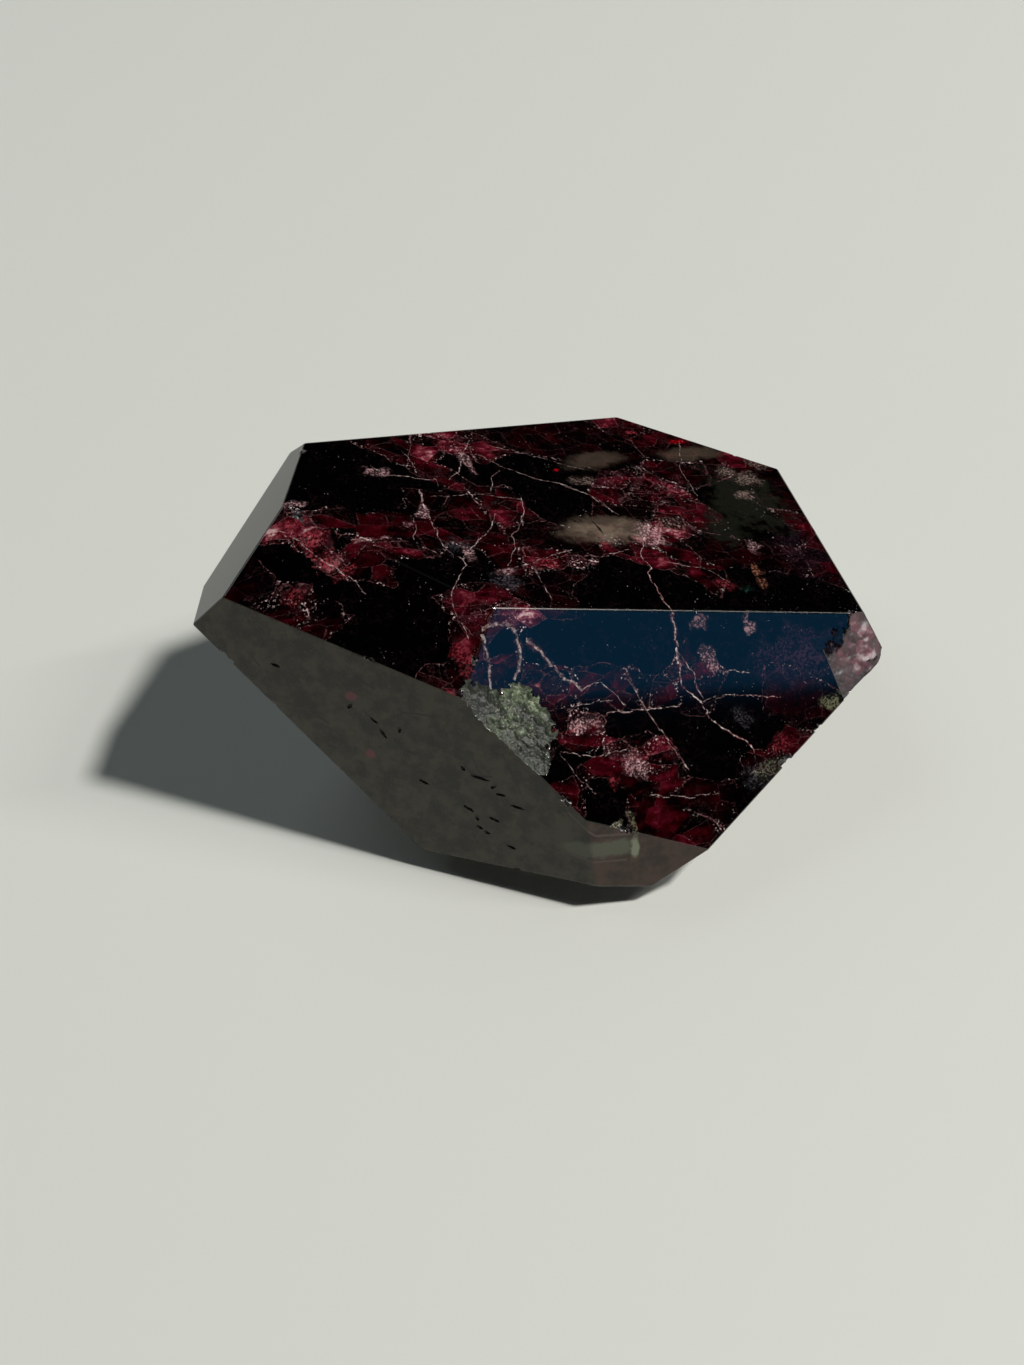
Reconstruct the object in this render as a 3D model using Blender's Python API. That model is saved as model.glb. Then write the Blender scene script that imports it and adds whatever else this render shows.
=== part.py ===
"""A polished garnet that rests on its own flat base, in metres, with +Z up.

The stone is one solid. A block is cut by flat facets and its edges are softened a little. Then the
right tip is broken rough, a pocket of pale mineral is opened in the right front facet, and the edges
and the front carry the chips and pits of the real stone.
"""

import math

import bmesh
import bpy
from mathutils import Matrix, Vector, noise

MM = 0.001

# The middle of the stone: every facet is measured from it.
HEART = Vector((0.0, 0.0, 17.0))
BLOCK_SIDE = 140.0

# Each facet has the compass direction that it faces (degrees, 0 is +X and 90 is +Y), the slope of
# its outward direction above the horizon (degrees), and its reach from the heart (mm).
FACETS = {
    "top": (3.0, 74.5, 12.2),
    "right_front": (-58.5, 45.0, 16.5),
    "left_front": (-89.0, 57.5, 19.9),
    "front": (-107.5, 9.5, 25.9),
    "corner_front": (-79.0, 14.0, 27.8),
    "left_end": (172.0, 41.5, 35.8),
    "right_end": (14.5, 26.0, 33.9),
    "back_left": (105.5, 40.5, 25.0),
    "back_right": (79.5, 5.0, 30.1),
    "left_back": (138.0, -18.0, 22.6),
    "left_under": (-170.0, -42.5, 23.7),
    "right_under": (-27.0, -50.0, 26.5),
    "front_under": (-101.5, -60.5, 26.0),
    "back_under": (101.0, -50.5, 24.8),
    "base": (0.0, -90.0, 17.0),
}

EDGE_SOFTNESS = 0.22
EDGE_STEPS = 2
SHARPEST_FLAT = math.radians(20)

# A chip bites the edge between two facets: how far along that edge, how long it is and how deep (mm).
EDGE_CHIPS = (
    ("front", "left_under", 0.15, 2.6, 0.55),
    ("front", "left_under", 0.34, 1.4, 0.3),
    ("front", "left_under", 0.71, 1.2, 0.25),
    ("front", "front_under", 0.55, 1.5, 0.3),
    ("front", "left_front", 0.62, 1.1, 0.25),
    ("front", "right_front", 0.83, 1.6, 0.35),
    ("top", "left_end", 0.86, 1.3, 0.35),
    ("top", "left_front", 0.07, 1.9, 0.45),
    ("top", "right_front", 0.52, 0.9, 0.22),
    ("top", "right_front", 0.965, 1.2, 0.3),
    ("top", "back_left", 0.37, 1.3, 0.28),
    ("top", "back_right", 0.72, 1.7, 0.35),
    ("top", "right_end", 0.44, 1.2, 0.25),
    ("right_front", "left_front", 0.42, 1.3, 0.28),
    ("right_front", "corner_front", 0.33, 1.9, 0.45),
    ("right_front", "right_under", 0.43, 3.0, 0.7),
    ("right_front", "right_under", 0.61, 1.8, 0.4),
    ("right_front", "right_under", 0.8, 1.4, 0.3),
    ("right_end", "back_right", 0.35, 1.8, 0.4),
    ("right_end", "right_under", 0.62, 2.2, 0.45),
    ("left_back", "back_right", 0.48, 2.4, 0.5),
    ("left_back", "left_under", 0.4, 1.9, 0.4),
    ("back_left", "left_back", 0.55, 1.3, 0.3),
    ("back_right", "back_under", 0.3, 2.0, 0.45),
)

# A pit in the front facet: its place in plan (x) and height (z), its length and its turn, 0 along
# the horizon and positive anticlockwise (mm and degrees).
FRONT_PITS = (
    (-31.0, 24.9, 1.2, -10),
    (-22.7, 21.6, 0.9, 60),
    (-20.0, 20.4, 1.1, -35),
    (-19.0, 18.9, 1.5, -55),
    (-17.1, 19.9, 0.8, 80),
    (-14.6, 13.3, 1.3, -20),
    (-10.0, 16.6, 0.8, -60),
    (-8.2, 15.8, 2.4, -5),
    (-6.6, 15.0, 0.9, 40),
    (-5.8, 14.1, 1.1, 0),
    (-9.5, 11.0, 1.4, -25),
    (-8.5, 9.9, 0.9, -70),
    (-6.6, 10.3, 1.4, -15),
    (-3.9, 12.9, 1.7, -5),
    (-8.2, 8.6, 0.9, -25),
    (-7.4, 8.1, 0.8, -20),
    (-4.6, 6.8, 1.1, -15),
)
PIT_WIDTH = 0.42
PIT_DEPTH = 0.3
PIT_ROUGHNESS = 0.5

# A chip's half width and how far its lump is centred outside the edge are in chip depths.
CHIP_WIDTH = 1.7
CHIP_LIFT = 0.8
CHIP_ROUGHNESS = 0.9

# How fine the waves of a lump are, and how far apart two lumps lie in the noise that shapes them.
LUMP_DETAIL = 1.9
LUMP_STRIDE = Vector((3.71, 1.37, 5.13))

# The right tip is broken three times: a thin flake is off the right front facet, and the very tip is
# snapped off in two steps. Each break is a rough plane, given as a facet is and then by how rough it
# is. The ledges and the grit are the roughness of a break of roughness 1.
TIP = Vector((40.5, -4.5, 15.5))
TIP_BREAKS = {
    "tip_flake": (-55.5, 41.5, 18.38, 1.0),
    "tip_snap": (28.0, 8.0, 34.9, 0.4),
    "tip_snap_below": (-18.0, -24.0, 37.3, 0.4),
}
BREAK_HALF_WIDTH = 7.5
BREAK_CELLS = 32
LEDGE_SPREAD = 3.2
LEDGE_HEIGHT = 0.6
GRIT_SPREAD = 1.1
GRIT_HEIGHT = 0.25

# The pocket of pale mineral in the right front facet (mm, and its long side turned from the horizon).
# Its outline is an oval with a few waves, each with its size, how many go round and where it starts.
POCKET_MIDDLE = Vector((-4.3, -23.1))
POCKET_LENGTH = 12.8
POCKET_WIDTH = 7.2
POCKET_TURN = math.radians(-58)
POCKET_WAVES = ((0.16, 3, 0.6), (0.1, 5, 2.0))
POCKET_DEPTH = 0.7
POCKET_RIM_STEEPNESS = 3
POCKET_MARGIN = 0.6
POCKET_CELLS = 60
GRAIN_SIZE = 1.25
GRAIN_HEIGHT = 0.45

GARNET_COLOUR = (0.045, 0.006, 0.011, 1.0)
GARNET_ROUGHNESS = 0.08
GARNET_IOR = 1.79


def clear_scene():
    for obj in list(bpy.data.objects):
        bpy.data.objects.remove(obj, do_unlink=True)


def direction(compass, slope):
    """The unit vector that points along a compass direction and a slope, both in degrees."""
    turn, rise = math.radians(compass), math.radians(slope)
    flat = math.cos(rise)
    return Vector((flat * math.cos(turn), flat * math.sin(turn), math.sin(rise)))


def plane(compass, slope, reach):
    """A point of the plane (mm) and its outward direction."""
    outward = direction(compass, slope)
    return HEART + outward * reach, outward


def facet_plane(name):
    return plane(*FACETS[name])


def facet_frame(middle, outward, turn=0.0):
    """The matrix that stands a shape on a facet, with its local X along the horizon and Z outward."""
    across = Vector((0, 0, 1)).cross(outward).normalized()
    up = outward.cross(across)
    frame = Matrix((across, up, outward)).transposed().to_4x4()
    return Matrix.Translation(middle) @ frame @ Matrix.Rotation(turn, 4, "Z")


def edge_ends(first, second):
    """The two ends of the straight edge between two facets, from left to right or from low to high."""
    (point_a, normal_a), (point_b, normal_b) = facet_plane(first), facet_plane(second)
    along = normal_a.cross(normal_b).normalized()
    if along.x + along.z * 0.01 < 0:
        along.negate()
    rows = Matrix((normal_a, normal_b, along))
    start = rows.inverted() @ Vector((normal_a.dot(point_a), normal_b.dot(point_b), 0.0))
    low, high = -BLOCK_SIDE, BLOCK_SIDE
    for name in FACETS:
        if name in (first, second):
            continue
        point, normal = facet_plane(name)
        pace = normal.dot(along)
        room = normal.dot(point - start)
        if pace > 0:
            high = min(high, room / pace)
        elif pace < 0:
            low = max(low, room / pace)
    if low >= high:
        raise ValueError(f"{first} and {second} share no edge")
    return start + along * low, start + along * high


def new_object(name, mesh_maker):
    mesh = bpy.data.meshes.new(name)
    mesh_maker.transform(Matrix.Scale(MM, 4))
    mesh_maker.to_mesh(mesh)
    mesh_maker.free()
    obj = bpy.data.objects.new(name, mesh)
    bpy.context.collection.objects.link(obj)
    return obj


def cut_stone():
    """The block with every facet cut, one flat face for each."""
    stone = bmesh.new()
    bmesh.ops.create_cube(stone, size=BLOCK_SIDE, matrix=Matrix.Translation(HEART))
    for name in FACETS:
        point, outward = facet_plane(name)
        everything = stone.verts[:] + stone.edges[:] + stone.faces[:]
        bmesh.ops.bisect_plane(
            stone, geom=everything, plane_co=point, plane_no=outward, clear_outer=True
        )
        rim = [edge for edge in stone.edges if edge.is_boundary]
        bmesh.ops.holes_fill(stone, edges=rim)
    bmesh.ops.recalc_face_normals(stone, faces=stone.faces)
    return new_object("garnet_crystal", stone)


def lump(radii, seed, roughness, steps):
    """An irregular closed lump about the origin, reaching about as far along each axis as radii say."""
    shape = bmesh.new()
    bmesh.ops.create_icosphere(shape, subdivisions=steps, radius=1.0)
    for vert in shape.verts:
        vert.co *= 1.0 + roughness * noise.noise(vert.co * LUMP_DETAIL + LUMP_STRIDE * seed)
        vert.co *= Vector(radii)
    return shape


def merge_into(target, piece, matrix):
    piece.transform(matrix)
    loose = bpy.data.meshes.new("piece")
    piece.to_mesh(loose)
    piece.free()
    target.from_mesh(loose)
    bpy.data.meshes.remove(loose)


def edge_chip_cutter():
    """Every chip's lump, centred a little outside its edge so that it bites to its depth."""
    cutter = bmesh.new()
    for seed, (first, second, fraction, length, depth) in enumerate(EDGE_CHIPS):
        start, end = edge_ends(first, second)
        outward = (facet_plane(first)[1] + facet_plane(second)[1]).normalized()
        along = (end - start).normalized()
        side = outward.cross(along)
        frame = Matrix((along, side, outward)).transposed().to_4x4()
        radii = (length / 2, depth * CHIP_WIDTH, depth * (1 + CHIP_LIFT))
        middle = start.lerp(end, fraction) + outward * depth * CHIP_LIFT
        chip = lump(radii, seed, CHIP_ROUGHNESS, steps=2)
        merge_into(cutter, chip, Matrix.Translation(middle) @ frame)
    return new_object("edge_chips", cutter)


def front_pit_cutter():
    point, outward = facet_plane("front")
    cutter = bmesh.new()
    for seed, (place_x, place_z, length, turn) in enumerate(FRONT_PITS):
        run = outward.x * (place_x - point.x) + outward.z * (place_z - point.z)
        middle = Vector((place_x, point.y - run / outward.y, place_z))
        radii = (length / 2, PIT_WIDTH / 2, PIT_DEPTH)
        pit = lump(radii, seed, PIT_ROUGHNESS, steps=1)
        merge_into(cutter, pit, facet_frame(middle, outward, math.radians(turn)))
    return new_object("front_pits", cutter)


def rough_cutter(name, frame, half_length, half_width, cells, depth_at):
    """A slab whose lower side is a rough sheet: depth_at gives how deep it goes below the facet."""
    slab = bmesh.new()
    rows = round(cells * half_width / half_length)
    bmesh.ops.create_grid(slab, x_segments=cells, y_segments=rows, size=1.0)
    for vert in slab.verts:
        across, up = vert.co.x * half_length, vert.co.y * half_width
        vert.co = Vector((across, up, -depth_at(across, up)))
    bmesh.ops.triangulate(slab, faces=slab.faces)
    raised = bmesh.ops.extrude_face_region(slab, geom=slab.faces[:])["geom"]
    for item in raised:
        if isinstance(item, bmesh.types.BMVert):
            item.co.z = half_length
    bmesh.ops.recalc_face_normals(slab, faces=slab.faces)
    if slab.calc_volume(signed=True) < 0:
        bmesh.ops.reverse_faces(slab, faces=slab.faces)
    slab.transform(frame)
    return new_object(name, slab)


def break_cutter(name):
    compass, slope, reach, roughness = TIP_BREAKS[name]
    point, outward = plane(compass, slope, reach)
    frame = facet_frame(TIP + outward * outward.dot(point - TIP), outward)

    def depth_at(across, up):
        place = Vector((across, up, 0.0))
        ledges = noise.noise(place / LEDGE_SPREAD) * LEDGE_HEIGHT
        return roughness * (ledges + noise.noise(place / GRIT_SPREAD) * GRIT_HEIGHT)

    return rough_cutter(name, frame, BREAK_HALF_WIDTH, BREAK_HALF_WIDTH, BREAK_CELLS, depth_at)


def pocket_cutter():
    point, outward = facet_plane("right_front")
    run = outward.x * (POCKET_MIDDLE.x - point.x) + outward.y * (POCKET_MIDDLE.y - point.y)
    middle = Vector((POCKET_MIDDLE.x, POCKET_MIDDLE.y, point.z - run / outward.z))
    frame = facet_frame(middle, outward, POCKET_TURN)

    def depth_at(across, up):
        place = Vector((across, up, 0.0))
        bearing = math.atan2(up / POCKET_WIDTH, across / POCKET_LENGTH)
        ring = 2 * math.hypot(across / POCKET_LENGTH, up / POCKET_WIDTH)
        waver = sum(size * math.sin(count * bearing + start) for size, count, start in POCKET_WAVES)
        inside = 1.0 - (ring + waver) ** POCKET_RIM_STEEPNESS
        nearest, second = noise.voronoi(place / GRAIN_SIZE)[0][:2]
        grain = math.sin(min(1.0, second - nearest) * math.pi / 2)
        return POCKET_DEPTH * min(inside, 1.0) - GRAIN_HEIGHT * grain * (inside > 0)

    half_length, half_width = POCKET_LENGTH * POCKET_MARGIN, POCKET_WIDTH * POCKET_MARGIN
    return rough_cutter("mineral_pocket", frame, half_length, half_width, POCKET_CELLS, depth_at)


def cut_away(stone, cutter):
    cutter.hide_render = True
    cutter.display_type = "WIRE"
    cut = stone.modifiers.new(cutter.name, "BOOLEAN")
    cut.operation = "DIFFERENCE"
    cut.solver = "EXACT"
    cut.object = cutter


def soften_edges(stone):
    bevel = stone.modifiers.new("softened_edges", "BEVEL")
    bevel.width = EDGE_SOFTNESS * MM
    bevel.segments = EDGE_STEPS
    bevel.limit_method = "ANGLE"
    bevel.angle_limit = SHARPEST_FLAT


def garnet_material():
    material = bpy.data.materials.new("garnet")
    material.use_nodes = True
    shader = material.node_tree.nodes["Principled BSDF"]
    shader.inputs["Base Color"].default_value = GARNET_COLOUR
    shader.inputs["Roughness"].default_value = GARNET_ROUGHNESS
    shader.inputs["Metallic"].default_value = 0.0
    shader.inputs["IOR"].default_value = GARNET_IOR
    return material


def stand_on_base(stone):
    """Moves the mesh so that the middle of its box's lower side is the origin."""
    bpy.context.view_layer.update()
    shown = stone.evaluated_get(bpy.context.evaluated_depsgraph_get())
    corners = [Vector(corner) for corner in shown.bound_box]
    low = Vector([min(corner[axis] for corner in corners) for axis in range(3)])
    high = Vector([max(corner[axis] for corner in corners) for axis in range(3)])
    middle = (low + high) / 2
    shift = Matrix.Translation((-middle.x, -middle.y, -low.z))
    for obj in bpy.data.objects:
        obj.data.transform(shift)


def main():
    clear_scene()
    stone = cut_stone()
    stone.data.materials.append(garnet_material())
    soften_edges(stone)
    for name in TIP_BREAKS:
        cut_away(stone, break_cutter(name))
    cut_away(stone, pocket_cutter())
    cut_away(stone, edge_chip_cutter())
    cut_away(stone, front_pit_cutter())
    stand_on_base(stone)


main()
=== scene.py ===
"""The looks of a polished garnet: its cut, its finish, the floor, the light and the camera."""

import math

import bpy
from mathutils import Matrix, Vector, noise


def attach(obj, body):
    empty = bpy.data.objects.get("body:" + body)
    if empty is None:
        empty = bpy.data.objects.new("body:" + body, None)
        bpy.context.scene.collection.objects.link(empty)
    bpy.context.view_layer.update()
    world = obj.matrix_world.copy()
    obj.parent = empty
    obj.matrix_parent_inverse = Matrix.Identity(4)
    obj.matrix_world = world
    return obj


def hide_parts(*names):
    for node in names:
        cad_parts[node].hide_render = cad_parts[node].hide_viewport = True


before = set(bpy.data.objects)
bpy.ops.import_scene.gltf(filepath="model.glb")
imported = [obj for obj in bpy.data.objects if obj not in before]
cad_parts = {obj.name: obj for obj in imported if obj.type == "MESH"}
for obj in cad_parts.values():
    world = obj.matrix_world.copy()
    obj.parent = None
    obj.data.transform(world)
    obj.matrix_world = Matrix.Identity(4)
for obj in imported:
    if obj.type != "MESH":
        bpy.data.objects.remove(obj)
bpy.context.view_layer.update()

MM = 0.001
UP = Vector((0, 0, 1))

# Sizes and places are in millimetres. The heart is the middle of the stone: facets, blocks and veins
# are placed from it, in plan, so (0, 0) is straight above it.
HEART = Vector((-0.244, -0.008, 17.0))
BLOCK_SIDE = 140.0

# An edge runs from left to right. One that is nearly upright runs from low to high.
UPRIGHT_SHARE = 0.01

# Each facet has the compass direction that it faces (degrees, 0 is +X and 90 is +Y), the slope of
# its outward direction above the horizon (degrees), and its reach from the heart.
FACETS = {
    "top": (3.0, 74.5, 12.2),
    "right_front": (-58.5, 45.0, 16.5),
    "left_front": (-89.0, 57.5, 19.9),
    "front": (-107.5, 9.5, 25.9),
    "corner_front": (-79.0, 14.0, 27.8),
    "left_end": (172.0, 41.5, 35.8),
    "right_end": (14.5, 26.0, 33.9),
    "back_left": (105.5, 40.5, 25.0),
    "back_right": (79.5, 5.0, 30.1),
    "left_back": (138.0, -18.0, 22.6),
    "left_under": (-170.0, -42.5, 23.7),
    "right_under": (-27.0, -50.0, 26.5),
    "front_under": (-101.5, -60.5, 26.0),
    "back_under": (101.0, -50.5, 24.8),
    "base": (0.0, -90.0, 17.0),
}

EDGE_SOFTNESS = 0.22
EDGE_STEPS = 4
SHARPEST_FLAT = math.radians(20)

# A chip bites the edge between two facets: how far along that edge, how long it is and how deep.
EDGE_CHIPS = (
    ("front", "left_under", 0.15, 2.6, 0.55),
    ("front", "left_under", 0.34, 1.4, 0.3),
    ("front", "left_under", 0.71, 1.2, 0.25),
    ("front", "front_under", 0.55, 1.5, 0.3),
    ("front", "left_front", 0.62, 1.1, 0.25),
    ("front", "right_front", 0.83, 1.6, 0.35),
    ("top", "left_end", 0.86, 1.3, 0.35),
    ("top", "left_front", 0.07, 1.9, 0.45),
    ("top", "right_front", 0.52, 0.9, 0.22),
    ("top", "right_front", 0.965, 1.2, 0.3),
    ("top", "back_left", 0.37, 1.3, 0.28),
    ("top", "back_right", 0.72, 1.7, 0.35),
    ("top", "right_end", 0.44, 1.2, 0.25),
    ("right_front", "left_front", 0.42, 1.3, 0.28),
    ("right_front", "corner_front", 0.33, 1.9, 0.45),
    ("right_front", "right_under", 0.43, 3.0, 0.7),
    ("right_front", "right_under", 0.61, 1.8, 0.4),
    ("right_front", "right_under", 0.8, 1.4, 0.3),
    ("right_end", "back_right", 0.35, 1.8, 0.4),
    ("right_end", "right_under", 0.62, 2.2, 0.45),
    ("left_back", "back_right", 0.48, 2.4, 0.5),
    ("left_back", "left_under", 0.4, 1.9, 0.4),
    ("back_left", "left_back", 0.55, 1.3, 0.3),
    ("back_right", "back_under", 0.3, 2.0, 0.45),
)
CHIP_WIDTH = 1.7
CHIP_LIFT = 0.8
CHIP_ROUGHNESS = 0.9
CHIP_STEPS = 4
LUMP_DETAIL = 1.9
LUMP_STRIDE = Vector((3.71, 1.37, 5.13))

# A pit in the front facet: its place in plan (x) and height (z), its length and its turn, 0 along
# the horizon and positive anticlockwise (degrees).
FRONT_PITS = (
    (-31.0, 24.9, 1.2, -10),
    (-22.7, 21.6, 0.9, 60),
    (-20.0, 20.4, 1.1, -35),
    (-19.0, 18.9, 1.5, -55),
    (-17.1, 19.9, 0.8, 80),
    (-14.6, 13.3, 1.3, -20),
    (-10.0, 16.6, 0.8, -60),
    (-8.2, 15.8, 2.4, -5),
    (-6.6, 15.0, 0.9, 40),
    (-5.8, 14.1, 1.1, 0),
    (-9.5, 11.0, 1.4, -25),
    (-8.5, 9.9, 0.9, -70),
    (-6.6, 10.3, 1.4, -15),
    (-3.9, 12.9, 1.7, -5),
    (-8.2, 8.6, 0.9, -25),
    (-7.4, 8.1, 0.8, -20),
    (-4.6, 6.8, 1.1, -15),
)
PIT_WIDTH = 0.42
PIT_DEPTH = 0.3
PIT_ROUGHNESS = 0.5
PIT_STEPS = 3

# The broken right tip: each break is a rough plane, given as a facet is and then by its roughness.
# It is rough near the tip and calmer away from it. The crystal is palest at TIP_BRIGHT.
TIP = Vector((40.256, -4.508, 15.5))
TIP_BRIGHT = Vector((37.3, -4.4, 17.6))
TIP_BREAKS = (
    (-55.5, 41.5, 18.38, 1.0),
    (28.0, 8.0, 34.9, 0.4),
    (-18.0, -24.0, 37.3, 0.4),
)
BREAK_HALF_WIDTH = 7.5
BREAK_CELLS = 96
LEDGE_SPREAD = 3.2
LEDGE_HEIGHT = 0.6
GRIT_SPREAD = 1.1
GRIT_HEIGHT = 0.25
CRUMB_SPREAD = 0.35
CRUMB_HEIGHT = 0.05
CALM_AWAY = 5.0
CALM_STEEPNESS = 4

# The pocket of pale mineral in the right front facet, from the heart in plan. Its outline is an oval
# with a few waves, each with its size, how many go round and where it starts. Its mineral has a
# painted pool of light, palest at POCKET_PAINTED_LIGHT.
POCKET_MIDDLE = Vector((-4.3, -23.1))
POCKET_PAINTED_LIGHT = Vector((-3.6, -22.2))
POCKET_LENGTH = 12.8
POCKET_WIDTH = 7.2
POCKET_TURN = math.radians(-58)
POCKET_WAVES = ((0.16, 3, 0.6), (0.1, 5, 2.0))
POCKET_DEPTH = 0.7
POCKET_RIM_STEEPNESS = 3
POCKET_MARGIN = 0.6
POCKET_CELLS = 190
GRAIN_SIZE = 1.25
GRAIN_HEIGHT = 0.45
CRYSTAL_SIZE = 0.42
CRYSTAL_HEIGHT = 0.13


def direction(compass, slope):
    """The unit vector that points along a compass direction and a slope, both in degrees."""
    turn, rise = math.radians(compass), math.radians(slope)
    flat = math.cos(rise)
    return Vector((flat * math.cos(turn), flat * math.sin(turn), math.sin(rise)))


def plane(compass, slope, reach):
    """A point of the plane and its outward direction."""
    outward = direction(compass, slope)
    return HEART + outward * reach, outward


def facet_plane(name):
    return plane(*FACETS[name])


def facet_frame(middle, outward, turn=0.0):
    """The matrix that stands a shape on a facet, with its local X along the horizon and Z outward."""
    across = UP.cross(outward).normalized()
    frame_axes = Matrix((across, outward.cross(across), outward)).transposed().to_4x4()
    return Matrix.Translation(middle) @ frame_axes @ Matrix.Rotation(turn, 4, "Z")


def edge_ends(first, second):
    """The two ends of the straight edge between two facets, from left to right or from low to high."""
    (point_a, normal_a), (point_b, normal_b) = facet_plane(first), facet_plane(second)
    along = normal_a.cross(normal_b).normalized()
    if along.x + along.z * UPRIGHT_SHARE < 0:
        along.negate()
    rows = Matrix((normal_a, normal_b, along))
    start = rows.inverted() @ Vector((normal_a.dot(point_a), normal_b.dot(point_b), 0.0))
    low, high = -BLOCK_SIDE, BLOCK_SIDE
    for name in FACETS:
        if name in (first, second):
            continue
        point, normal = facet_plane(name)
        pace = normal.dot(along)
        room = normal.dot(point - start)
        if pace > 0:
            high = min(high, room / pace)
        elif pace < 0:
            low = max(low, room / pace)
    return start + along * low, start + along * high


def on_top(x, y):
    """The point of the upper side at a place in plan."""
    heights = []
    for name in FACETS:
        point, outward = facet_plane(name)
        if outward.z > 0:
            spot = Vector((x, y, 0.0)) + HEART * Vector((1, 1, 0))
            heights.append(point.z - (outward.xy.dot(spot.xy - point.xy)) / outward.z)
    return Vector((x + HEART.x, y + HEART.y, min(heights)))


def on_front(x, z, name="front"):
    """The point of an upright facet at a place across and a height."""
    point, outward = facet_plane(name)
    run = outward.x * (x + HEART.x - point.x) + outward.z * (z - point.z)
    return Vector((x + HEART.x, point.y - run / outward.y, z))


def start_edit(piece):
    bpy.ops.object.select_all(action="DESELECT")
    piece.select_set(True)
    bpy.context.view_layer.objects.active = piece
    bpy.ops.object.mode_set(mode="EDIT")
    bpy.ops.mesh.select_all(action="SELECT")


def end_edit():
    bpy.ops.object.mode_set(mode="OBJECT")


def settle(piece):
    """Puts the place, turn and scale of a piece into its mesh."""
    bpy.ops.object.select_all(action="DESELECT")
    piece.select_set(True)
    bpy.context.view_layer.objects.active = piece
    bpy.ops.object.transform_apply(location=True, rotation=True, scale=True)


def apply_modifier(piece, modifier):
    bpy.context.view_layer.objects.active = piece
    bpy.ops.object.modifier_apply(modifier=modifier.name)


def cut_facets():
    """A block with every facet cut from it."""
    bpy.ops.object.select_all(action="DESELECT")
    bpy.ops.mesh.primitive_cube_add(size=BLOCK_SIDE * MM, location=HEART * MM)
    stone = bpy.context.object
    stone.name = "polished_garnet"
    settle(stone)
    start_edit(stone)
    for name in FACETS:
        point, outward = facet_plane(name)
        bpy.ops.mesh.select_all(action="SELECT")
        bpy.ops.mesh.bisect(
            plane_co=point * MM, plane_no=outward, use_fill=True, clear_outer=True
        )
    bpy.ops.mesh.select_all(action="SELECT")
    bpy.ops.mesh.normals_make_consistent(inside=False)
    end_edit()
    return stone


def soften_edges(stone):
    bevel = stone.modifiers.new("softened_edges", "BEVEL")
    bevel.width = EDGE_SOFTNESS * MM
    bevel.segments = EDGE_STEPS
    bevel.limit_method = "ANGLE"
    bevel.angle_limit = SHARPEST_FLAT
    apply_modifier(stone, bevel)


def rough_slab(frame_matrix, half_length, half_width, cells, depth_at):
    """A closed slab whose lower side is a rough sheet, as deep below a facet as depth_at says."""
    rows = round(cells * half_width / half_length)
    bpy.ops.object.select_all(action="DESELECT")
    bpy.ops.mesh.primitive_grid_add(x_subdivisions=cells, y_subdivisions=rows, size=2)
    slab = bpy.context.object
    for vert in slab.data.vertices:
        across, up = vert.co.x * half_length, vert.co.y * half_width
        vert.co = Vector((across, up, -depth_at(across, up)))
    start_edit(slab)
    bpy.ops.mesh.quads_convert_to_tris()
    lift = {"value": (0, 0, half_length)}
    bpy.ops.mesh.extrude_region_move(TRANSFORM_OT_translate=lift)
    bpy.ops.mesh.select_all(action="SELECT")
    bpy.ops.mesh.normals_make_consistent(inside=False)
    end_edit()
    slab.data.transform(Matrix.Scale(MM, 4) @ frame_matrix)
    bpy.ops.object.shade_smooth()
    return slab


def tip_break(compass, slope, reach, roughness):
    point, outward = plane(compass, slope, reach)
    frame_matrix = facet_frame(TIP + outward * outward.dot(point - TIP), outward)

    def depth_at(across, up):
        place = Vector((across, up, 0.0))
        calmer = roughness / (1 + (place.length / CALM_AWAY) ** CALM_STEEPNESS)
        ledges = noise.noise(place / LEDGE_SPREAD) * LEDGE_HEIGHT
        grit = noise.noise(place / GRIT_SPREAD) * GRIT_HEIGHT
        crumbs = noise.noise(place / CRUMB_SPREAD) * CRUMB_HEIGHT
        return calmer * (ledges + grit) + roughness * crumbs

    return rough_slab(frame_matrix, BREAK_HALF_WIDTH, BREAK_HALF_WIDTH, BREAK_CELLS, depth_at)


def grain_dome(place, size):
    """How high a grain stands at a place: 0 in the groove between two grains, 1 on its top."""
    nearest, second = noise.voronoi(place / size)[0][:2]
    return math.sin(min(1.0, second - nearest) * math.pi / 2)


def mineral_pocket():
    point, outward = facet_plane("right_front")
    middle_plan = POCKET_MIDDLE + HEART.xy
    run = outward.xy.dot(middle_plan - point.xy)
    middle = Vector((middle_plan.x, middle_plan.y, point.z - run / outward.z))

    def depth_at(across, up):
        place = Vector((across, up, 0.0))
        bearing = math.atan2(up / POCKET_WIDTH, across / POCKET_LENGTH)
        ring = 2 * math.hypot(across / POCKET_LENGTH, up / POCKET_WIDTH)
        waver = sum(size * math.sin(count * bearing + start) for size, count, start in POCKET_WAVES)
        inside = 1.0 - (ring + waver) ** POCKET_RIM_STEEPNESS
        if inside <= 0:
            return POCKET_DEPTH * inside
        grains = GRAIN_HEIGHT * grain_dome(place, GRAIN_SIZE)
        crystals = CRYSTAL_HEIGHT * grain_dome(place + LUMP_STRIDE, CRYSTAL_SIZE)
        return POCKET_DEPTH * inside + CRYSTAL_HEIGHT - grains - crystals

    frame_matrix = facet_frame(middle, outward, POCKET_TURN)
    half_length, half_width = POCKET_LENGTH * POCKET_MARGIN, POCKET_WIDTH * POCKET_MARGIN
    return rough_slab(frame_matrix, half_length, half_width, POCKET_CELLS, depth_at)


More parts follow.
